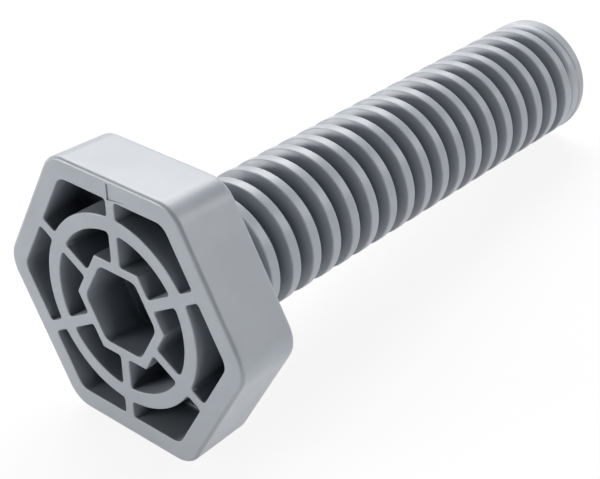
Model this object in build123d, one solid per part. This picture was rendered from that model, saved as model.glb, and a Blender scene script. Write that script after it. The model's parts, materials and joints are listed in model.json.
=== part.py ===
from build123d import *
import math
import os

# A dishwasher's screw-in levelling foot, moulded in one piece of grey plastic.
# It is modelled upright, as it is used: its face on the floor at height 0 and its screw pointing up.
# The last step lays it down the way a loose one comes to rest. All sizes are in millimetres and degrees.

# Foot: a six-sided block that a spanner turns by its flats.
foot_across_flats = 28.0
foot_height = 7.0
flat_draft = 1.5
foot_corner_radius = 3.2
face_edge_radius = 0.4
shoulder_edge_radius = 0.5

# Cored face: rim, ring, six spokes and the key socket's wall all end flush with the face.
# The ring's place is given by the gap that it leaves to the rim at the middle of a flat.
rim_wall = 2.2
rim_pocket_corner_radius = 1.5
ring_to_rim = 1.8
ring_wall = 1.6
spoke_width = 1.15
spoke_root_radius = 0.35
pocket_depth = 4.8

# Socket for a hexagon key.
key_across_flats = 8.0
key_clearance = 0.2
socket_corner_radius = 1.1
socket_wall = 1.0
socket_depth = 4.7

# Screw: a coarse right-hand trapezoid thread that starts at the shoulder.
thread_diameter = 14.0
thread_pitch = 3.0
thread_depth = 1.7
thread_crest_width = 1.2
thread_flank_angle = 15.0
screw_length = 61.7
screw_end_chamfer = 0.6

# Values that follow from the sizes above.
sides = 6
turns_per_sweep = 4
side_angle = 360 / sides
half_side_angle = side_angle / 2
total_length = foot_height + screw_length
crest_radius = thread_diameter / 2
core_radius = crest_radius - thread_depth
floor_thickness = foot_height - pocket_depth
ring_diameter = foot_across_flats - 2 * (rim_wall + ring_to_rim)
socket_across_flats = key_across_flats + key_clearance
socket_wall_across_flats = socket_across_flats + 2 * socket_wall
draft_slope = math.tan(math.radians(flat_draft))
flank_slope = math.tan(math.radians(thread_flank_angle))


def hexagon(across_flats, corner_radius=0.0):
    """A hexagon with one flat square to the X axis and its corners rounded."""
    outline = RegularPolygon(across_flats / 2, sides, major_radius=False, rotation=half_side_angle)
    if corner_radius > 0:
        outline = fillet(outline.vertices(), corner_radius)
    return outline


def spoke_bars():
    """Three bars through the middle, each of them two spokes that end at the middle of a flat."""
    bar = Rectangle(foot_across_flats, spoke_width)
    return [Rot(0, 0, turn * side_angle) * bar for turn in range(sides // 2)]


def beside_spoke(vertex):
    """True for a pocket's corner that lies on the side of a spoke."""
    reach = math.hypot(vertex.X, vertex.Y)
    turn = math.radians((math.degrees(math.atan2(vertex.Y, vertex.X)) + half_side_angle) % side_angle - half_side_angle)
    return math.isclose(abs(reach * math.sin(turn)), spoke_width / 2, abs_tol=1e-4)


def pocket_outlines():
    """The pockets between rim and ring and between ring and socket wall, parted by the spokes."""
    rim_opening = hexagon(foot_across_flats - 2 * rim_wall, rim_pocket_corner_radius)
    outer_pockets = rim_opening - Circle(ring_diameter / 2)
    inner_pockets = Circle(ring_diameter / 2 - ring_wall) - hexagon(socket_wall_across_flats)
    outlines = []
    for face in (outer_pockets - spoke_bars()).faces() + (inner_pockets - spoke_bars()).faces():
        roots = [vertex for vertex in face.vertices() if beside_spoke(vertex)]
        outlines.append(fillet(roots, spoke_root_radius) if spoke_root_radius > 0 else face)
    return outlines


def cored_foot():
    """The six-sided block with its pockets and its key socket cut into the face."""
    block = extrude(hexagon(foot_across_flats), foot_height, taper=flat_draft)
    side_edges = block.edges().filter_by(lambda edge: abs(edge.tangent_at(0.5).Z) > 0.5)
    block = fillet(side_edges, foot_corner_radius)
    block = fillet(block.faces().sort_by(Axis.Z)[0].edges(), face_edge_radius)
    block = fillet(block.faces().sort_by(Axis.Z)[-1].edges(), shoulder_edge_radius)
    for outline in pocket_outlines():
        block -= extrude(outline, pocket_depth, dir=(0, 0, 1))
    block -= extrude(hexagon(socket_across_flats, socket_corner_radius), socket_depth)
    return block


def thread_section(height):
    """The thread's trapezoid in the plane through the axis, with its foot sunk a little into the screw's core."""
    sunk = thread_depth / 5
    half_crest = thread_crest_width / 2
    half_foot = half_crest + (thread_depth + sunk) * flank_slope
    corners = [
        (crest_radius, 0, height - half_crest),
        (crest_radius, 0, height + half_crest),
        (core_radius - sunk, 0, height + half_foot),
        (core_radius - sunk, 0, height - half_foot),
    ]
    return make_face(Polyline(*corners, close=True))


def standing_cylinder(radius, bottom, top):
    """A cylinder on the axis between two heights."""
    return Pos(0, 0, bottom) * Cylinder(radius, top - bottom, align=(Align.CENTER, Align.CENTER, Align.MIN))


def threaded_screw():
    """The screw: a trapezoid wound up a core, cut off inside the foot's floor and at the chamfered end.

    The thread is swept in equal lengths of a few turns that join end to end.
    """
    overrun = 2 * thread_pitch
    thread_bottom = foot_height - overrun
    thread_top = total_length + overrun
    rise = turns_per_sweep * thread_pitch
    few_turns = sweep(thread_section(0), path=Helix(thread_pitch, rise, crest_radius), is_frenet=True)
    lengths = math.ceil((thread_top - thread_bottom) / rise)
    winding = [Pos(0, 0, thread_bottom + step * rise) * few_turns for step in range(lengths)]
    core = standing_cylinder(core_radius, thread_bottom - overrun, thread_bottom + lengths * rise + overrun)
    room = thread_depth
    envelope = standing_cylinder(crest_radius + room, foot_height - floor_thickness / 2, total_length)
    envelope = chamfer(envelope.edges().sort_by(Axis.Z)[-1], room + screw_end_chamfer)
    return (core + winding) & envelope


def last_crest_height():
    """The height of the last full crest edge on the side opposite the X axis, which a lying foot rests on."""
    first_crest = foot_height + thread_pitch / 2
    chamfer_start = total_length - screw_end_chamfer
    turns = math.floor((chamfer_start - first_crest + thread_crest_width / 2) / thread_pitch)
    return min(first_crest + turns * thread_pitch + thread_crest_width / 2, chamfer_start)


def lying_plane():
    """The plane that lays the foot down on the rounded shoulder edge of one flat and on the screw's last crest."""
    edge_height = foot_height - shoulder_edge_radius
    edge_reach = foot_across_flats / 2 - edge_height * draft_slope - shoulder_edge_radius * math.hypot(1, draft_slope)
    along = last_crest_height() - edge_height
    across = edge_reach - crest_radius
    lean = math.atan2(across, along) + math.asin(shoulder_edge_radius / math.hypot(across, along))
    lift = edge_reach * math.cos(lean) + edge_height * math.sin(lean) + shoulder_edge_radius
    return Plane(
        origin=(0, 0, lift),
        x_dir=(math.sin(lean), 0, math.cos(lean)),
        z_dir=(math.cos(lean), 0, -math.sin(lean)),
    )


upright_foot = cored_foot() + threaded_screw()
lying_foot = lying_plane().location * upright_foot
middle = lying_foot.bounding_box().center()
levelling_foot = Pos(-middle.X, -middle.Y, 0) * lying_foot

os.makedirs("parts", exist_ok=True)
export_step(levelling_foot, "parts/levelling_foot.step")
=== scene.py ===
"""Looks of a dishwasher's levelling foot: one grey moulding on a white table, in the frame of its solid."""

import json
import math
from typing import NamedTuple

import bmesh
import bpy
import numpy as np
from mathutils import Matrix
from mathutils.geometry import delaunay_2d_cdt


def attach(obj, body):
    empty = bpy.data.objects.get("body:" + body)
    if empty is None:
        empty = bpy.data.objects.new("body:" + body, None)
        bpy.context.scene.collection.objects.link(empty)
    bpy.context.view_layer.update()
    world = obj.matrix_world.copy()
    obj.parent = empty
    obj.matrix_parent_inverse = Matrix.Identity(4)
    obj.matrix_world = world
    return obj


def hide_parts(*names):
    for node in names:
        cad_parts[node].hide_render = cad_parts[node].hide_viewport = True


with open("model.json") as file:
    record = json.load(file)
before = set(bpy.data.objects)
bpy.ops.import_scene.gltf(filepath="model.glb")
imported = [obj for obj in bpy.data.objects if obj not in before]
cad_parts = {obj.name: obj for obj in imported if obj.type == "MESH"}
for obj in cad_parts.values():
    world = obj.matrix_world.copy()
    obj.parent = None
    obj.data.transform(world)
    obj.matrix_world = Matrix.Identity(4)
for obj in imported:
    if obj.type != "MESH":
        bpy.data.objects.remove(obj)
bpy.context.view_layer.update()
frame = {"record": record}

bl_info = {
    "name": "Levelling foot",
    "version": (1, 0, 0),
    "blender": (4, 5, 0),
    "location": "View3D > Sidebar > Levelling foot",
    "description": "Builds a moulded levelling foot with a cored face and a coarse thread, on a white table",
    "category": "Add Mesh",
}

NODE = "levelling_foot"
PIECE = "levelling_foot_moulding"
SLOT = "grey_plastic"
MOUNTS = {mount["name"]: mount for mount in frame["record"]["mounts"]}
MM_PER_M = 1000

# The foot's own frame: a point has a reach towards the top flat, a reach sideways and a height.
# Heights run along the screw from the face, and the lying foot leans in the XZ plane.
FACE_CENTRE = np.array(MOUNTS["key_socket"]["pos_m"])
ALONG = -np.array(MOUNTS["key_socket"]["axis"])
UPWARD = np.array((-ALONG[2], 0.0, ALONG[0]))
ACROSS = np.cross(ALONG, UPWARD)


def height_of(name):
    """The height of a mount over the face, measured along the screw."""
    return float((np.array(MOUNTS[name]["pos_m"]) - FACE_CENTRE) @ ALONG)


FOOT_HEIGHT = height_of("shoulder")
TOTAL_LENGTH = 2 * height_of("screw_thread") - FOOT_HEIGHT
CREST_RADIUS = MOUNTS["screw_thread"]["dims"]["r_mm"] / MM_PER_M

SIDES = 6
SIDE_ANGLE = math.tau / SIDES
HALF_SIDE = SIDE_ANGLE / 2

# How far an arc may stray from the lines between its points, in metres and as a share of its radius.
ROUNDNESS = 3e-6
ROUNDNESS_SHARE = 0.15

# The fewest points of an arc.
FEWEST_POINTS = 4

# How far from the ends of a straight stretch points keep its shading flat, in metres and as a share of it.
NEAR = 4e-5
NEAR_SHARE = 0.3

# Points along the small roundings and the edges of the hexagon, and rows up its flats.
ROUNDING_POINTS = 5
FACE_EDGE_POINTS = 9
SHOULDER_EDGE_POINTS = 8
FLAT_ROWS = 4

# Columns of points round the screw, their places as shares of a turn, and rows on the screw's plain end.
SCREW_COLUMNS = 112
TURNS = np.linspace(0.0, 1.0, SCREW_COLUMNS + 1)[None]
PLAIN_END_ROWS = 46

# How many turns below the shoulder the thread's rows start.
TURNS_BELOW = 1.5

# Points closer than this many metres become one.
WELD = 2e-7

# A face is shaded flat where the cosine between its normal and the screw's direction is at least this.
SQUARE = 0.999999

# An edge where the skin bends by more than this is hard.
SHARP_BEND = math.radians(38)

# Flat faces are cut into triangles in millimetres: only inside their outlines, and to this tolerance.
INSIDE_OUTLINES = 1
OUTLINE_TOLERANCE = 1e-6

# The mould step's gap to the face's rounded edge in metres, and its inner end's slant as a share of its run.
STEP_GAP = 2.5 * NEAR
STEP_SLANT = 1 / 6

# The mesh's attribute for painted shade in grooves, pockets and socket, and the depth in metres at which a
# recess takes that painted shade in full.
PAINTED_SHADE_ATTRIBUTE = "recess"
PAINTED_SHADE_DEPTH = 0.0006

# The skin's noises, with scales per metre, its patches' spread, its grain's height and its refraction.
SKIN_NOISES = {
    "Patches": {"Scale": 140.0, "Detail": 3.0, "Roughness": 0.55},
    "Gloss": {"Scale": 900.0, "Detail": 2.0, "Roughness": 0.6},
    "Grain": {"Scale": 5200.0, "Detail": 2.0, "Roughness": 0.5},
}
PATCH_SPREAD = {"From Min": 0.35, "From Max": 0.65}
GRAIN_HEIGHT = {"Strength": 0.25, "Distance": 0.00002}
PLASTIC_IOR = 1.5

# Cosines of the angle to the room's darker side at which the room starts to darken and is darkest.
DARKENS_FROM = -0.45
DARKEST_FROM = 0.55

# The room's colour and its alpha.
WHITE = (1.0, 1.0, 1.0, 1.0)

# The camera's sensor in millimetres, and its nearest visible distance in metres.
SENSOR_WIDTH = 36.0
CLIP_START = 0.005


class Lamp(NamedTuple):
    """A soft rectangular lamp, with its place, target, width and height in metres and its power in watts."""

    name: str
    place: tuple
    target: tuple
    size: tuple
    watts: float


# Two of the lamps face the middle of the foot.
MIDDLE = (0.0, 0.0, 0.012)
LAMPS = (
    Lamp("rear_soft", (0.125, 0.160, 0.235), (-0.02, 0.0, 0.02), (0.28, 0.24), 1.5),
    Lamp("left_soft", (-0.45, 0.37, 0.13), MIDDLE, (0.30, 0.16), 2.8),
    Lamp("right_soft", (0.45, -0.46, 0.30), MIDDLE, (0.30, 0.30), 1.65),
    Lamp("low_soft", (-0.05, -0.40, 0.02), (-0.03, 0.0, 0.01), (0.20, 0.04), 0.6),
)


def length(name, size, description):
    """A length setting in metres."""
    return bpy.props.FloatProperty(
        name=name, description=description, default=size, min=0.0, unit="LENGTH", precision=5
    )


def angle(name, degrees, description):
    """An angle setting, given in degrees and kept in radians."""
    return bpy.props.FloatProperty(
        name=name, description=description, default=math.radians(degrees), subtype="ANGLE"
    )


def share(name, value, description):
    """A setting between nothing and all."""
    return bpy.props.FloatProperty(
        name=name, description=description, default=value, min=0.0, max=1.0, subtype="FACTOR"
    )


def colour(name, value, description):
    """A colour setting in linear light."""
    return bpy.props.FloatVectorProperty(
        name=name, description=description, default=value, min=0.0, max=1.0, size=3, subtype="COLOR"
    )


class FootSettings(bpy.types.PropertyGroup):
    """Sizes and finish of the moulding."""

    across_flats: length("Across flats", 0.0280, "Width of the hexagon at its face")
    flat_draft: angle("Draft", 1.5, "How much each flat leans in from the face to the shoulder")
    corner_radius: length("Corner radius", 0.0032, "Rounding of the hexagon's six corners")
    face_edge: length("Face edge", 0.0004, "Rounding between the face and the flats")
    shoulder_edge: length("Shoulder edge", 0.0005, "Rounding between the flats and the shoulder")
    rim_wall: length("Rim wall", 0.0022, "Thickness of the hexagon's rim")
    rim_pocket_corner: length("Rim pocket corner", 0.0015, "Rounding of the rim's inner corners")
    ring_to_rim: length("Ring to rim", 0.0018, "Gap between ring and rim at the middle of a flat")
    ring_wall: length("Ring wall", 0.0016, "Thickness of the ring")
    spoke_width: length("Spoke width", 0.00115, "Thickness of the six spokes")
    spoke_root: length("Spoke root", 0.00035, "Rounding where a spoke joins another wall")
    pocket_depth: length("Pocket depth", 0.0048, "Depth of the pockets between the walls")
    key_width: length("Key socket width", 0.0082, "Width of the key socket across its flats")
    key_corner: length("Key socket corner", 0.0011, "Rounding of the key socket's corners")
    key_wall: length("Key socket wall", 0.0010, "Thickness of the wall round the key socket")
    key_wall_corner: length("Key wall corner", 0.00020, "Rounding of the outer corners of that wall")
    key_depth: length("Key socket depth", 0.0047, "Depth of the key socket")
    step_aside: length("Mould step aside", 0.00024, "How far the mould line is left of the top spoke's axis")
    step_run: length("Mould step run", 0.00284, "Width of the rim's stretch that sinks in beside that line")
    step_depth: length("Mould step depth", 0.00012, "Depth of the step at that line")
    lip: length("Lip", 0.00012, "Rounding of the walls' upper edges")
    floor_fillet: length("Floor fillet", 0.00030, "Rounding at the bottom of pockets and socket")
    pitch: length("Pitch", 0.0030, "Rise of the thread in one turn")
    thread_depth: length("Thread depth", 0.0017, "Height of the thread over the screw's core")
    crest_width: length("Crest width", 0.0012, "Width of the thread's flat crest")
    flank_angle: angle("Flank angle", 15.0, "Lean of the thread's two flanks")
    crest_edge: length("Crest edge", 0.00022, "Rounding of the crest's edges")
    root_fillet: length("Root fillet", 0.00025, "Rounding at the foot of the thread")
    runout: length("Runout", 0.0022, "Length over which the last groove rises into the screw's plain end")
    plain_end: length("Plain end", 0.0024, "Length of the screw's plain end")
    plain_step: length("Plain end step", 0.0001, "How far the plain end lies below the crests")
    end_chamfer: length("End chamfer", 0.0006, "Chamfer of the screw's end")
    end_draw: length("End draw", 0.00013, "How far the end is drawn in to stay inside the solid's box")
    plastic: colour("Plastic", (0.292, 0.312, 0.338), "Colour of the moulded plastic")
    plastic_pale: colour("Plastic, paler", (0.318, 0.339, 0.366), "Colour where the skin has a paler bloom")
    # Painted shade: the next colour darkens grooves, pockets, socket and the shoulder round the thread where
    # shade falls, and the share after it sets how far pockets and socket take it.
    painted_shade_colour: colour("Plastic, recessed", (0.078, 0.092, 0.112), "Colour of the painted shade in grooves")
    pocket_painted_shade: share("Pocket tone", 0.82, "How far the skin in pockets and socket takes that colour")
    gloss_low: share("Roughness, smooth", 0.30, "Roughness of the smoother patches")
    gloss_high: share("Roughness, dull", 0.44, "Roughness of the duller patches")


class StageSettings(bpy.types.PropertyGroup):
    """Table, room and camera."""

    table_size: length("Table size", 3.0, "Width of the white table")
    table_colour: colour("Table", (0.88, 0.89, 0.90), "Colour of the table")
    table_wash: share("Table wash", 0.88, "How far the table is washed towards white for the eye")
    fill: share("Fill", 0.32, "Level of the room's own soft light")
    mirror: share("Mirror", 0.80, "Level of the room in reflections")
    dark_side: bpy.props.FloatVectorProperty(
        name="Dark side",
        description="Direction of the room's darker side",
        default=(-0.575, -0.578, 0.578),
        size=3,
        subtype="DIRECTION",
    )
    dark_level: share("Dark level", 0.03, "Level of the room's darker side")
    camera_right: length("Camera right", 0.08739, "Camera's distance to the right of the screw's axis")
    camera_over: length("Camera over", 0.07374, "Camera's distance over the screw's axis")
    camera_before: length("Camera before", 0.07105, "Camera's distance before the face")
    aim_right: length("Aim right", 0.00628, "Distance of the point aimed at to the right of the axis")
    aim_over: length("Aim over", 0.00197, "Distance of the point aimed at over the axis")
    aim_behind: length("Aim behind", 0.0180, "Distance of the point aimed at behind the face")
    camera_roll: angle("Camera roll", 1.42, "Turn of the camera about its line of sight")
    lens: bpy.props.FloatProperty(
        name="Lens", description="Focal length on a sensor 36 mm wide", default=86.87, min=10.0, unit="CAMERA"
    )


def in_place(points):
    """Points of the foot's own frame in the frame of the solid: the face's centre plus their reaches."""
    return FACE_CENTRE + points @ np.stack((UPWARD, ACROSS, ALONG))


def grid_quads(rows, columns, closed=True):
    """Corner numbers of the quads between the neighbouring rows and columns of a grid."""
    row = np.arange(rows - 1)[:, None] * columns
    here = np.arange(columns if closed else columns - 1)[None, :]
    after = (here + 1) % columns
    corners = (row + here, row + after, row + columns + after, row + columns + here)
    return np.stack(corners, axis=-1).reshape(-1, 4)


def arc(centre, radius, start, end):
    """Points of an arc, centre plus radius times the direction of each angle, and the way out of its outline.

    On a left turn the way out points from the centre, and on a right turn towards it.
    """
    step = 2 * math.acos(1 - min(ROUNDNESS / radius, ROUNDNESS_SHARE))
    count = max(FEWEST_POINTS, math.ceil(abs(end - start) / step) + 1)
    angles = np.linspace(start, end, count)
    directions = np.stack((np.cos(angles), np.sin(angles)), axis=1)
    return np.asarray(centre) + radius * directions, directions * np.sign(end - start)


def mirrored(piece):
    """An arc's mirror image across the first axis, passed through the other way round."""
    points, out = piece
    flip = np.array((1.0, -1.0))
    return points[::-1] * flip, out[::-1] * flip


def turned(outline, turn):
    """An outline turned about the middle by an angle."""
    points, out = outline
    matrix = np.array(((math.cos(turn), math.sin(turn)), (-math.sin(turn), math.cos(turn))))
    return points @ matrix, out @ matrix


def joined(arcs):
    """A closed outline of arcs and the straight lines between them, and the way out at each of its points.

    Two points near a line's ends keep the wall along it flat.
    """
    points = []
    out = []
    for (here, here_out), (after, after_out) in zip(arcs, arcs[1:] + arcs[:1]):
        line = after[0] - here[-1]
        run = float(np.hypot(*line))
        if run < NEAR:
            points.append(here[:-1])
            out.append(here_out[:-1])
            continue
        step = line * min(NEAR / run, NEAR_SHARE)
        points += [here, [here[-1] + step, after[0] - step]]
        out += [here_out, [here_out[-1], after_out[0]]]
    return np.concatenate(points), np.concatenate(out)


def hexagon(width, radius):
    """A hexagon of a width across flats, with rounded corners: six arcs that each turn by a side's angle."""
    reach = (width / 2 - radius) / math.cos(HALF_SIDE)
    arcs = []
    for corner in range(SIDES):
        middle = (corner + 0.5) * SIDE_ANGLE
        centre = (reach * math.cos(middle), reach * math.sin(middle))
        arcs.append(arc(centre, radius, corner * SIDE_ANGLE, (corner + 1) * SIDE_ANGLE))
    return joined(arcs)


def beside_spoke(foot, reach):
    """The centre of a fillet that touches a spoke's side, at a distance along that spoke from the middle."""
    aside = foot.spoke_width / 2 + foot.spoke_root
    return np.array((
        reach * math.cos(HALF_SIDE) + aside * math.sin(HALF_SIDE),
        reach * math.sin(HALF_SIDE) - aside * math.cos(HALF_SIDE),
    ))


def touching_circle(foot, radius):
    """The centre of a spoke's fillet at a distance from the middle of the face, and the angle it lies at."""
    aside = foot.spoke_width / 2 + foot.spoke_root
    centre = beside_spoke(foot, math.sqrt(radius ** 2 - aside ** 2))
    return centre, math.atan2(centre[1], centre[0])


def outer_pocket(foot):
    """The pocket between rim and ring about one corner of the hexagon: rim corner, spoke sides and ring."""
    root = foot.spoke_root
    rim = foot.across_flats / 2 - foot.rim_wall
    ring = rim - foot.ring_to_rim
    corner_reach = (rim - foot.rim_pocket_corner) / math.cos(HALF_SIDE)
    by_spoke = HALF_SIDE + math.pi / 2
    at_rim = arc(beside_spoke(foot, rim - root), root, HALF_SIDE, by_spoke)
    centre, lies_at = touching_circle(foot, ring + root)
    at_ring = arc(centre, root, by_spoke, lies_at + math.pi)
    return joined([
        arc((corner_reach, 0.0), foot.rim_pocket_corner, -HALF_SIDE, HALF_SIDE),
        at_rim,
        at_ring,
        arc((0.0, 0.0), ring, lies_at, -lies_at),
        mirrored(at_ring),
        mirrored(at_rim),
    ])


def inner_pocket(foot):
    """The pocket between ring and key wall about one corner of that wall: ring, spoke sides and the wall."""
    root = foot.spoke_root
    ring = foot.across_flats / 2 - foot.rim_wall - foot.ring_to_rim - foot.ring_wall
    wall = foot.key_width / 2 + foot.key_wall
    corner_reach = (wall - foot.key_wall_corner) / math.cos(HALF_SIDE)
    by_spoke = HALF_SIDE + math.pi / 2
    centre, lies_at = touching_circle(foot, ring - root)
    at_ring = arc(centre, root, lies_at, by_spoke)
    at_wall = arc(beside_spoke(foot, wall + root), root, by_spoke, HALF_SIDE + math.pi)
    return joined([
        arc((0.0, 0.0), ring, -lies_at, lies_at),
        at_ring,
        at_wall,
        arc((corner_reach, 0.0), foot.key_wall_corner, HALF_SIDE, -HALF_SIDE),
        mirrored(at_wall),
        mirrored(at_ring),
    ])


def recess_profile(foot, depth):
    """A recess's wall as steps out of its outline and heights: rounded lip, straight wall, floor fillet."""
    lip = foot.lip
    fillet = foot.floor_fillet
    turn = np.linspace(0.0, math.pi / 2, ROUNDING_POINTS)
    steps = np.concatenate((
        [lip + NEAR],
        lip - lip * np.sin(turn),
        [0.0, 0.0],
        fillet * np.cos(turn) - fillet,
        [-fillet - NEAR / 2],
    ))
    heights = np.concatenate((
        [0.0],
        lip - lip * np.cos(turn),
        [lip + NEAR, depth - fillet - NEAR],
        depth - fillet + fillet * np.sin(turn),
        [depth],
    ))
    return steps, heights


class Shell:
    """Gathers the patches of one closed skin."""

    def __init__(self):
        self.points = []
        self.recess = []
        self.faces = []
        self.count = 0

    def add(self, points, faces, inward=False, recess=0.0):
        """Adds a patch in the foot's own frame, with faces of one size and the painted shade of each point.

        An inward patch is wound the other way round.
        """
        points = np.asarray(points, dtype=float).reshape(-1, 3)
        faces = np.asarray(faces) + self.count
        self.points.append(points)
        self.recess.append(np.broadcast_to(recess, len(points)))
        self.faces += (faces[:, ::-1] if inward else faces).tolist()
        self.count += len(points)

    def mesh(self, name):
        """One mesh of all patches, welded where they meet.

        A face is shaded flat where it is square to the screw, and smooth elsewhere.
        """
        mesh = bpy.data.meshes.new(name)
        mesh.from_pydata(in_place(np.concatenate(self.points)), [], self.faces)
        # Each point's painted shade goes into the mesh as an attribute for the material.
        recess = mesh.attributes.new(PAINTED_SHADE_ATTRIBUTE, "FLOAT", "POINT")
        recess.data.foreach_set("value", np.concatenate(self.recess).astype(np.float32))
        welded = bmesh.new()
        welded.from_mesh(mesh)
        bmesh.ops.remove_doubles(welded, verts=welded.verts, dist=WELD)
        bmesh.ops.dissolve_degenerate(welded, edges=welded.edges, dist=WELD)
        welded.to_mesh(mesh)
        welded.free()
        normals = np.empty(3 * len(mesh.polygons))
        mesh.polygons.foreach_get("normal", normals)
        mesh.polygons.foreach_set("use_smooth", np.abs(normals.reshape(-1, 3) @ ALONG) < SQUARE)
        mesh.set_sharp_from_angle(angle=SHARP_BEND)
        mesh.update()
        return mesh


def smooth_step(part):
    """A smooth rise from 0 to 1 as the part goes from 0 to 1: three times its square less twice its cube."""
    part = np.clip(part, 0.0, 1.0)
    return part * part * (3 - 2 * part)


def at_height(points, height):
    """Flat points lifted to one height."""
    return np.column_stack((points, np.full(len(points), height)))


def rows_at_heights(rows, heights):
    """Rows of flat points, each row lifted to its own height."""
    level = np.broadcast_to(heights[:, None, None], rows.shape[:2] + (1,))
    return np.concatenate((rows, level), axis=2)


def inside(points, outline):
    """True for each point inside a closed outline: a ray from it crosses that an odd number of times."""
    start = outline[None, :, :]
    end = np.roll(outline, -1, axis=0)[None, :, :]
    spot = points[:, None, :]
    rises = (start[..., 1] > spot[..., 1]) != (end[..., 1] > spot[..., 1])
    run = np.where(rises, end[..., 1] - start[..., 1], 1.0)
    crossing = start[..., 0] + (spot[..., 1] - start[..., 1]) / run * (end[..., 0] - start[..., 0])
    return (np.sum(rises & (spot[..., 0] < crossing), axis=1) % 2) == 1


def flat_with_holes(border, holes):
    """Triangles of a flat face inside its border and outside its holes."""
    loops = [border] + holes
    starts = np.cumsum([0] + [len(loop) for loop in loops])
    numbers = [start + np.arange(len(loop)) for start, loop in zip(starts, loops)]
    edges = np.concatenate([np.stack((loop, np.roll(loop, -1)), axis=1) for loop in numbers])
    scaled = np.concatenate(loops) * MM_PER_M
    corners, _, faces, _, _, _ = delaunay_2d_cdt(
        scaled.tolist(), edges.tolist(), [], INSIDE_OUTLINES, OUTLINE_TOLERANCE
    )
    points = np.array(corners, dtype=float) / MM_PER_M
    faces = np.array(faces)
    middles = points[faces].mean(axis=1)
    kept = inside(middles, border)
    for hole in holes:
        kept &= ~inside(middles, hole)
    return points, faces[kept]


def add_recess(shell, outline, profile, tone):
    """A recess in the face: its profile carried round its outline, each point moved out by the profile.

    The painted shade rises with depth to the share given. The recess's border in the face is returned.
    """
    points, out = outline
    steps, heights = profile
    flat = points[None] + steps[:, None, None] * out[None]
    rows, columns = flat.shape[:2]
    # Painted shade, darker with depth into the recess where shade falls.
    recess = tone * np.repeat(smooth_step(heights / PAINTED_SHADE_DEPTH), columns)
    shell.add(rows_at_heights(flat, heights), grid_quads(rows, columns), inward=True, recess=recess)
    shell.add(at_height(flat[-1], heights[-1]), [np.arange(columns)], inward=True, recess=tone)
    return flat[0]


def add_mould_step(shell, foot):
    """The step that a mould's joint left in the rim over the top spoke: a wedge that sinks in beside a line.

    Its floor falls straight from the face at the far end to its depth at the line. Three walls close it.
    Its border in the face is returned.
    """
    outer = foot.across_flats / 2 - foot.face_edge - STEP_GAP
    inner = foot.across_flats / 2 - foot.rim_wall + NEAR
    near = -foot.step_aside
    far = foot.step_run - foot.step_aside
    slant = foot.step_run * STEP_SLANT
    border = np.array(((outer, near), (outer, far), (inner + slant, far), (inner, near)))
    low = at_height(border[[0, 3]], foot.step_depth)
    points = np.concatenate((at_height(border, 0.0), low))
    shell.add(points, [(0, 3, 5, 4), (5, 2, 1, 4)])
    shell.add(points, [(0, 4, 1), (3, 2, 5)])
    return border


def side_profile(foot):
    """The hexagon's side as half widths and heights: rounded face edge, leaning flat, rounded shoulder edge.

    A third array gives the half width of the leaning flat itself at each height.
    """
    slope = math.tan(foot.flat_draft)
    half = foot.across_flats / 2
    low = foot.face_edge
    high = foot.shoulder_edge
    low_middle = half - low * slope - low / math.cos(foot.flat_draft)
    high_level = FOOT_HEIGHT - high
    high_middle = half - high_level * slope - high / math.cos(foot.flat_draft)
    low_turn = np.linspace(-math.pi / 2, foot.flat_draft, FACE_EDGE_POINTS)
    high_turn = np.linspace(foot.flat_draft, math.pi / 2, SHOULDER_EDGE_POINTS)
    wall = np.linspace(low + low * math.sin(foot.flat_draft) + NEAR, high_level - NEAR, FLAT_ROWS)
    widths = np.concatenate((
        [low_middle - NEAR],
        low_middle + low * np.cos(low_turn),
        half - wall * slope,
        high_middle + high * np.cos(high_turn),
        [high_middle - NEAR],
    ))
    heights = np.concatenate((
        [0.0],
        low + low * np.sin(low_turn),
        wall,
        high_level + high * np.sin(high_turn),
        [FOOT_HEIGHT],
    ))
    leaning = half - np.clip(heights, low, high_level) * slope
    return widths, heights, leaning


def add_side(shell, foot):
    """The hexagon's side: its six corner centres drawn in by the draft, and each row's rounding round them.

    Its borders on the face and on the shoulder are returned.
    """
    points, out = hexagon(foot.across_flats, foot.corner_radius)
    widths, heights, leaning = side_profile(foot)
    centres = points - foot.corner_radius * out
    inner = foot.across_flats / 2 - foot.corner_radius
    drawn_in = (leaning - foot.corner_radius) / inner
    rounding = widths - drawn_in * inner
    flat = drawn_in[:, None, None] * centres[None] + rounding[:, None, None] * out[None]
    shell.add(rows_at_heights(flat, heights), grid_quads(*flat.shape[:2]))
    return flat[0], flat[-1]


def thread_profile(foot):
    """One pitch of the thread as heights from a crest's middle and radii: crest, flank, root, flank, crest.

    The corners of the trapezoid are rounded by arcs that touch the flank and the crest or the root.
    """
    core = CREST_RADIUS - foot.thread_depth
    lean = foot.flank_angle
    cut = math.tan(math.pi / 4 - lean / 2)
    crest_end = foot.crest_width / 2
    root_start = crest_end + foot.thread_depth * math.tan(lean)
    turn = np.linspace(0.0, math.pi / 2 - lean, ROUNDING_POINTS)
    crest_heights = crest_end - foot.crest_edge * cut + foot.crest_edge * np.sin(turn)
    crest_radii = CREST_RADIUS - foot.crest_edge + foot.crest_edge * np.cos(turn)
    root_heights = root_start + foot.root_fillet * cut - foot.root_fillet * np.sin(turn[::-1])
    root_radii = core + foot.root_fillet - foot.root_fillet * np.cos(turn[::-1])
    half_heights = np.concatenate((
        [0.0, crest_heights[0] - NEAR],
        crest_heights,
        root_heights,
        [root_heights[-1] + NEAR, foot.pitch / 2],
    ))
    half_radii = np.concatenate(([CREST_RADIUS] * 2, crest_radii, root_radii, [core] * 2))
    heights = np.concatenate((half_heights, foot.pitch - half_heights[-2::-1]))
    radii = np.concatenate((half_radii, half_radii[-2::-1]))
    return heights, radii


def plain_end_heights(foot):
    """The heights at which the screw's plain end starts and ends."""
    top = TOTAL_LENGTH - foot.end_draw
    return top - foot.plain_end, top


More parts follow.
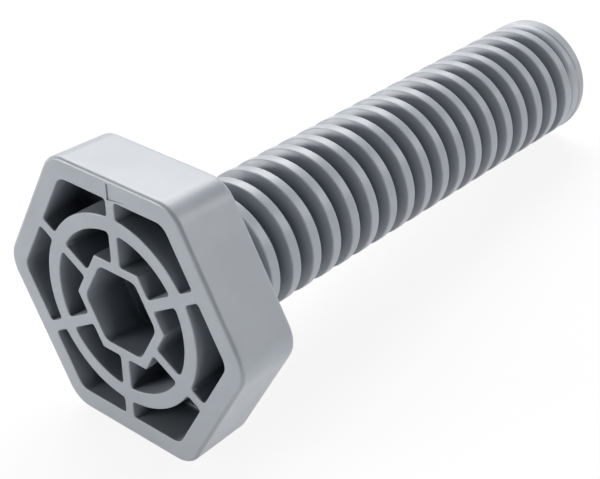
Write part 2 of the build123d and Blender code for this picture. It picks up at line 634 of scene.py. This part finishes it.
def screw_radius(foot, level):
    """The screw's radius: the thread's profile at the height less the turn's share of the pitch.

    Towards the plain end the groove's floor rises by a smooth step. The larger of thread and floor counts.
    """
    heights, radii = thread_profile(foot)
    plain_start, _ = plain_end_heights(foot)
    crest = FOOT_HEIGHT % foot.pitch
    phase = (level - TURNS * foot.pitch - crest) % foot.pitch
    runs_out = smooth_step((level - plain_start + foot.runout) / foot.runout)
    floor = CREST_RADIUS - foot.thread_depth + runs_out * (foot.thread_depth - foot.plain_step)
    return np.maximum(np.interp(phase, heights, radii), floor)


def round_screw(level, radius):
    """Points round the screw: the radius times the direction of each column's turn, and the height."""
    spin = math.tau * TURNS
    height = np.broadcast_to(level, radius.shape)
    return np.stack((radius * np.cos(spin), radius * np.sin(spin), height), axis=2)


def groove_painted_shade(foot, radius):
    """The painted shade of points on the screw, darker the deeper they lie below the plain end's radius."""
    return smooth_step((CREST_RADIUS - foot.plain_step - radius) / PAINTED_SHADE_DEPTH)


def add_thread(shell, foot):
    """The thread: rows that wind with it, each at a height of the profile plus the turn's share of the pitch.

    Below the shoulder they are held at its height, and above the plain end's start at that one.
    """
    heights, _ = thread_profile(foot)
    plain_start, _ = plain_end_heights(foot)
    crest = FOOT_HEIGHT % foot.pitch
    rounds = np.arange(-1, math.ceil(TOTAL_LENGTH / foot.pitch) + 1)
    rows = (heights[None, :-1] + rounds[:, None] * foot.pitch + crest).ravel()
    rows = rows[rows > FOOT_HEIGHT - TURNS_BELOW * foot.pitch]
    level = np.clip(rows[:, None] + TURNS * foot.pitch, FOOT_HEIGHT, plain_start)
    radius = screw_radius(foot, level)
    skin = round_screw(level, radius)
    # Painted shade in the grooves, darker with their depth.
    tone = groove_painted_shade(foot, radius).ravel()
    shell.add(skin, grid_quads(*skin.shape[:2], closed=False), recess=tone)


def add_plain_end(shell, foot):
    """The screw's plain end and end face: level rows, with a radius no larger than the chamfer's cone."""
    plain_start, top = plain_end_heights(foot)
    level = np.linspace(plain_start, top, PLAIN_END_ROWS)[:, None]
    cone = CREST_RADIUS - foot.end_chamfer + top - level
    skin = round_screw(level, np.minimum(screw_radius(foot, level), cone))
    shell.add(skin, grid_quads(*skin.shape[:2], closed=False))
    shell.add(skin[-1, :-1], [np.arange(SCREW_COLUMNS)])


def add_collar(shell, foot):
    """A flat collar on the shoulder between the thread's start and a circle round it, which is returned."""
    level = np.full((1, 1), FOOT_HEIGHT)
    start = screw_radius(foot, level)
    radius = np.concatenate((np.full_like(start, CREST_RADIUS + foot.root_fillet), start))
    collar = round_screw(level, radius)[:, :-1]
    # Painted shade on the shoulder round the thread's root, fading out towards the circle.
    tone = groove_painted_shade(foot, radius)[:, :-1].ravel()
    shell.add(collar, grid_quads(*collar.shape[:2]), recess=tone)
    return collar[0, :, :2]


def foot_mesh(foot):
    """The whole moulding: side, face with its recesses, screw and shoulder, as one closed skin."""
    shell = Shell()
    face_border, shoulder_border = add_side(shell, foot)
    pocket = recess_profile(foot, foot.pocket_depth)
    socket = recess_profile(foot, foot.key_depth)
    # Pockets and socket take this share of the painted shade.
    tone = foot.pocket_painted_shade
    openings = [add_recess(shell, hexagon(foot.key_width, foot.key_corner), socket, tone)]
    for corner in range(SIDES):
        turn = (corner + 0.5) * SIDE_ANGLE
        openings.append(add_recess(shell, turned(outer_pocket(foot), turn), pocket, tone))
        openings.append(add_recess(shell, turned(inner_pocket(foot), turn), pocket, tone))
    openings.append(add_mould_step(shell, foot))
    points, faces = flat_with_holes(face_border, openings)
    shell.add(at_height(points, 0.0), faces, inward=True)
    add_thread(shell, foot)
    add_plain_end(shell, foot)
    thread_border = add_collar(shell, foot)
    points, faces = flat_with_holes(shoulder_border, [thread_border])
    shell.add(at_height(points, FOOT_HEIGHT), faces)
    return shell.mesh(PIECE)


def emptied_tree(owner):
    """The node tree of a material or a world, emptied of its first nodes."""
    owner.use_nodes = True
    owner.node_tree.nodes.clear()
    return owner.node_tree


def node(tree, kind, place, settings=(), inputs=()):
    """Adds a node at a place in the node editor, and sets its own settings and the values of its sockets."""
    made = tree.nodes.new(kind)
    made.location = place
    for name, value in dict(settings).items():
        setattr(made, name, value)
    for name, value in dict(inputs).items():
        made.inputs[name].default_value = value
    return made


def mirror_rays(tree, across, up):
    """A Light Path node, and a node that is 1 for reflected and transmitted rays and 0 for others."""
    rays = node(tree, "ShaderNodeLightPath", (across, up))
    mirror = node(tree, "ShaderNodeMath", (across + 200, up), {"operation": "MAXIMUM"})
    tree.links.new(rays.outputs["Is Glossy Ray"], mirror.inputs[0])
    tree.links.new(rays.outputs["Is Transmission Ray"], mirror.inputs[1])
    return rays, mirror


def moulded_skin_group():
    """A shader group for moulded plastic: soft patches, uneven gloss and a fine grain, each from a noise."""
    tree = bpy.data.node_groups.new("Moulded skin", "ShaderNodeTree")
    tree.interface.new_socket("Vector", in_out="INPUT", socket_type="NodeSocketVector")
    for name in SKIN_NOISES:
        tree.interface.new_socket(name, in_out="OUTPUT", socket_type="NodeSocketFloat")
    start = node(tree, "NodeGroupInput", (-700, 0))
    end = node(tree, "NodeGroupOutput", (400, 0))
    noises = {}
    for row, (name, values) in enumerate(SKIN_NOISES.items()):
        noises[name] = node(tree, "ShaderNodeTexNoise", (-400, 200 - 250 * row), inputs=values)
        tree.links.new(start.outputs["Vector"], noises[name].inputs["Vector"])
    spread = node(tree, "ShaderNodeMapRange", (-150, 200), inputs=PATCH_SPREAD)
    tree.links.new(noises["Patches"].outputs["Fac"], spread.inputs["Value"])
    tree.links.new(spread.outputs["Result"], end.inputs["Patches"])
    tree.links.new(noises["Gloss"].outputs["Fac"], end.inputs["Gloss"])
    tree.links.new(noises["Grain"].outputs["Fac"], end.inputs["Grain"])
    return tree


def plastic_material(foot):
    """Satin grey plastic: a cool grey with a paler bloom in patches, uneven gloss and a fine grain.

    The mesh's painted shade attribute mixes its colour towards a dark grey in grooves, pockets and socket,
    where shade falls.
    """
    material = bpy.data.materials.new(SLOT)
    tree = emptied_tree(material)
    place = node(tree, "ShaderNodeTexCoord", (-900, 0))
    skin = node(tree, "ShaderNodeGroup", (-650, 0), {"node_tree": moulded_skin_group()})
    tint = node(tree, "ShaderNodeMix", (-350, 200), {"data_type": "RGBA"})
    tint.inputs["A"].default_value = (*foot.plastic, 1.0)
    tint.inputs["B"].default_value = (*foot.plastic_pale, 1.0)
    # Painted shade: the attribute darkens the colour in the hollows.
    recess = node(tree, "ShaderNodeAttribute", (-650, 350), {"attribute_name": PAINTED_SHADE_ATTRIBUTE})
    deep = node(tree, "ShaderNodeMix", (-150, 300), {"data_type": "RGBA"})
    deep.inputs["B"].default_value = (*foot.painted_shade_colour, 1.0)
    rough = node(tree, "ShaderNodeMapRange", (-350, -50))
    rough.inputs["To Min"].default_value = foot.gloss_low
    rough.inputs["To Max"].default_value = foot.gloss_high
    bump = node(tree, "ShaderNodeBump", (-350, -350), inputs=GRAIN_HEIGHT)
    shader = node(tree, "ShaderNodeBsdfPrincipled", (0, 0), inputs={"IOR": PLASTIC_IOR})
    end = node(tree, "ShaderNodeOutputMaterial", (300, 0))
    links = tree.links
    links.new(place.outputs["Object"], skin.inputs["Vector"])
    links.new(skin.outputs["Patches"], tint.inputs["Factor"])
    links.new(skin.outputs["Gloss"], rough.inputs["Value"])
    links.new(skin.outputs["Grain"], bump.inputs["Height"])
    links.new(recess.outputs["Fac"], deep.inputs["Factor"])
    links.new(tint.outputs["Result"], deep.inputs["A"])
    links.new(deep.outputs["Result"], shader.inputs["Base Color"])
    links.new(rough.outputs["Result"], shader.inputs["Roughness"])
    links.new(bump.outputs["Normal"], shader.inputs["Normal"])
    links.new(shader.outputs["BSDF"], end.inputs["Surface"])
    return material


class OBJECT_OT_levelling_foot(bpy.types.Operator):
    """Build the moulded levelling foot over its solid"""

    bl_idname = "object.levelling_foot"
    bl_label = "Levelling foot"

    def execute(self, context):
        foot = context.scene.levelling_foot
        mesh = foot_mesh(foot)
        mesh.materials.append(plastic_material(foot))
        moulding = bpy.data.objects.new(PIECE, mesh)
        context.scene.collection.objects.link(moulding)
        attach(moulding, "root")
        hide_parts(NODE)
        return {"FINISHED"}


def table_material(stage):
    """White table: plain paper, which the eye and reflections see washed towards white, its shadow kept."""
    material = bpy.data.materials.new("white_table")
    tree = emptied_tree(material)
    rays, mirror = mirror_rays(tree, -800, 200)
    seen = node(tree, "ShaderNodeMath", (-400, 200), {"operation": "MAXIMUM"})
    wash = node(tree, "ShaderNodeMath", (-250, 200), {"operation": "MULTIPLY"})
    wash.inputs[1].default_value = stage.table_wash
    paper = node(tree, "ShaderNodeBsdfDiffuse", (-250, 0))
    paper.inputs["Color"].default_value = (*stage.table_colour, 1.0)
    white = node(tree, "ShaderNodeEmission", (-250, -150))
    both = node(tree, "ShaderNodeMixShader", (0, 0))
    end = node(tree, "ShaderNodeOutputMaterial", (250, 0))
    links = tree.links
    links.new(mirror.outputs["Value"], seen.inputs[0])
    links.new(rays.outputs["Is Camera Ray"], seen.inputs[1])
    links.new(seen.outputs["Value"], wash.inputs[0])
    links.new(wash.outputs["Value"], both.inputs[0])
    links.new(paper.outputs["BSDF"], both.inputs[1])
    links.new(white.outputs["Emission"], both.inputs[2])
    links.new(both.outputs["Shader"], end.inputs["Surface"])
    return material


def white_surround(stage):
    """A room with one darker side: white to the eye, less bright in reflections, a soft fill for the rest.

    Its level falls by a smooth step of the cosine of the angle between a direction and the darker side's.
    """
    world = bpy.data.worlds.new("white_surround")
    tree = emptied_tree(world)
    rays, mirror = mirror_rays(tree, -900, 200)
    level = node(tree, "ShaderNodeMapRange", (-500, 200))
    level.inputs["To Min"].default_value = stage.fill
    level.inputs["To Max"].default_value = stage.mirror
    place = node(tree, "ShaderNodeTexCoord", (-1100, -100))
    towards = node(tree, "ShaderNodeVectorMath", (-900, -100), {"operation": "DOT_PRODUCT"})
    towards.inputs[1].default_value = stage.dark_side
    side = node(tree, "ShaderNodeMapRange", (-700, -100), {"interpolation_type": "SMOOTHSTEP"})
    side.inputs["From Min"].default_value = DARKENS_FROM
    side.inputs["From Max"].default_value = DARKEST_FROM
    side.inputs["To Min"].default_value = 1.0
    side.inputs["To Max"].default_value = stage.dark_level
    shaded = node(tree, "ShaderNodeMath", (-300, 0), {"operation": "MULTIPLY"})
    seen = node(tree, "ShaderNodeMath", (-100, 0), {"operation": "MAXIMUM"})
    light = node(tree, "ShaderNodeBackground", (100, 0), inputs={"Color": WHITE})
    end = node(tree, "ShaderNodeOutputWorld", (300, 0))
    links = tree.links
    links.new(mirror.outputs["Value"], level.inputs["Value"])
    links.new(place.outputs["Generated"], towards.inputs[0])
    links.new(towards.outputs["Value"], side.inputs["Value"])
    links.new(level.outputs["Result"], shaded.inputs[0])
    links.new(side.outputs["Result"], shaded.inputs[1])
    links.new(shaded.outputs["Value"], seen.inputs[0])
    links.new(rays.outputs["Is Camera Ray"], seen.inputs[1])
    links.new(seen.outputs["Value"], light.inputs["Strength"])
    links.new(light.outputs["Background"], end.inputs["Surface"])
    return world


def facing(place, target, roll=0.0, upward=(0.0, 0.0, 1.0)):
    """A transform at a place that looks at a target: its third axis points away from the target.

    Its first axis is square to that one and to the upward direction. The roll then turns it about its third.
    """
    away = place - target
    away = away / np.linalg.norm(away)
    right = np.cross(upward, away)
    right = right / np.linalg.norm(right)
    top = np.cross(away, right)
    pose = np.eye(4)
    pose[:3] = np.column_stack((right, top, away, place))
    return Matrix(pose.tolist()) @ Matrix.Rotation(-roll, 4, "Z")


def add_table(context, stage):
    """The table: one square face at height 0, centred under the foot."""
    half = stage.table_size / 2
    corners = [(-half, -half, 0.0), (half, -half, 0.0), (half, half, 0.0), (-half, half, 0.0)]
    mesh = bpy.data.meshes.new("table")
    mesh.from_pydata(corners, [], [(0, 1, 2, 3)])
    mesh.materials.append(table_material(stage))
    floor = bpy.data.objects.new("table", mesh)
    context.scene.collection.objects.link(floor)


def add_lamp(context, lamp):
    """A soft rectangular light at the lamp's place, facing its target."""
    light = bpy.data.lights.new(lamp.name, "AREA")
    light.shape = "RECTANGLE"
    light.size, light.size_y = lamp.size
    light.energy = lamp.watts
    holder = bpy.data.objects.new(lamp.name, light)
    holder.matrix_world = facing(np.array(lamp.place), np.array(lamp.target))
    context.scene.collection.objects.link(holder)


def add_camera(context, stage):
    """The camera, with its place and the point it is aimed at given in the foot's own frame."""
    place = in_place(np.array((stage.camera_over, stage.camera_right, -stage.camera_before)))
    target = in_place(np.array((stage.aim_over, stage.aim_right, stage.aim_behind)))
    camera = bpy.data.cameras.new("camera")
    camera.sensor_width = SENSOR_WIDTH
    camera.lens = stage.lens
    camera.clip_start = CLIP_START
    holder = bpy.data.objects.new("camera", camera)
    holder.matrix_world = facing(place, target, stage.camera_roll, UPWARD)
    context.scene.collection.objects.link(holder)
    context.scene.camera = holder


class OBJECT_OT_levelling_foot_stage(bpy.types.Operator):
    """Build the white table, the room, the soft lamps and the camera"""

    bl_idname = "object.levelling_foot_stage"
    bl_label = "Table, lamps and camera"

    def execute(self, context):
        stage = context.scene.levelling_foot_stage
        add_table(context, stage)
        context.scene.world = white_surround(stage)
        for lamp in LAMPS:
            add_lamp(context, lamp)
        add_camera(context, stage)
        context.scene.view_settings.view_transform = "Standard"
        return {"FINISHED"}


class VIEW3D_PT_levelling_foot(bpy.types.Panel):
    """Lists the foot's and the stage's settings and their operators"""

    bl_label = "Levelling foot"
    bl_space_type = "VIEW_3D"
    bl_region_type = "UI"
    bl_category = "Levelling foot"

    def draw(self, context):
        for group, operator in (
            (context.scene.levelling_foot, OBJECT_OT_levelling_foot),
            (context.scene.levelling_foot_stage, OBJECT_OT_levelling_foot_stage),
        ):
            box = self.layout.box()
            box.operator(operator.bl_idname)
            for name in type(group).__annotations__:
                box.prop(group, name)


CLASSES = (
    FootSettings,
    StageSettings,
    OBJECT_OT_levelling_foot,
    OBJECT_OT_levelling_foot_stage,
    VIEW3D_PT_levelling_foot,
)


def register():
    """Registers the classes and gives each scene its settings."""
    for item in CLASSES:
        bpy.utils.register_class(item)
    bpy.types.Scene.levelling_foot = bpy.props.PointerProperty(type=FootSettings)
    bpy.types.Scene.levelling_foot_stage = bpy.props.PointerProperty(type=StageSettings)


def unregister():
    """Takes the settings and the classes away again."""
    del bpy.types.Scene.levelling_foot_stage
    del bpy.types.Scene.levelling_foot
    for item in reversed(CLASSES):
        bpy.utils.unregister_class(item)


def main():
    """Builds the foot and its stage."""
    register()
    bpy.ops.object.levelling_foot()
    bpy.ops.object.levelling_foot_stage()


if __name__ == "__main__":
    main()
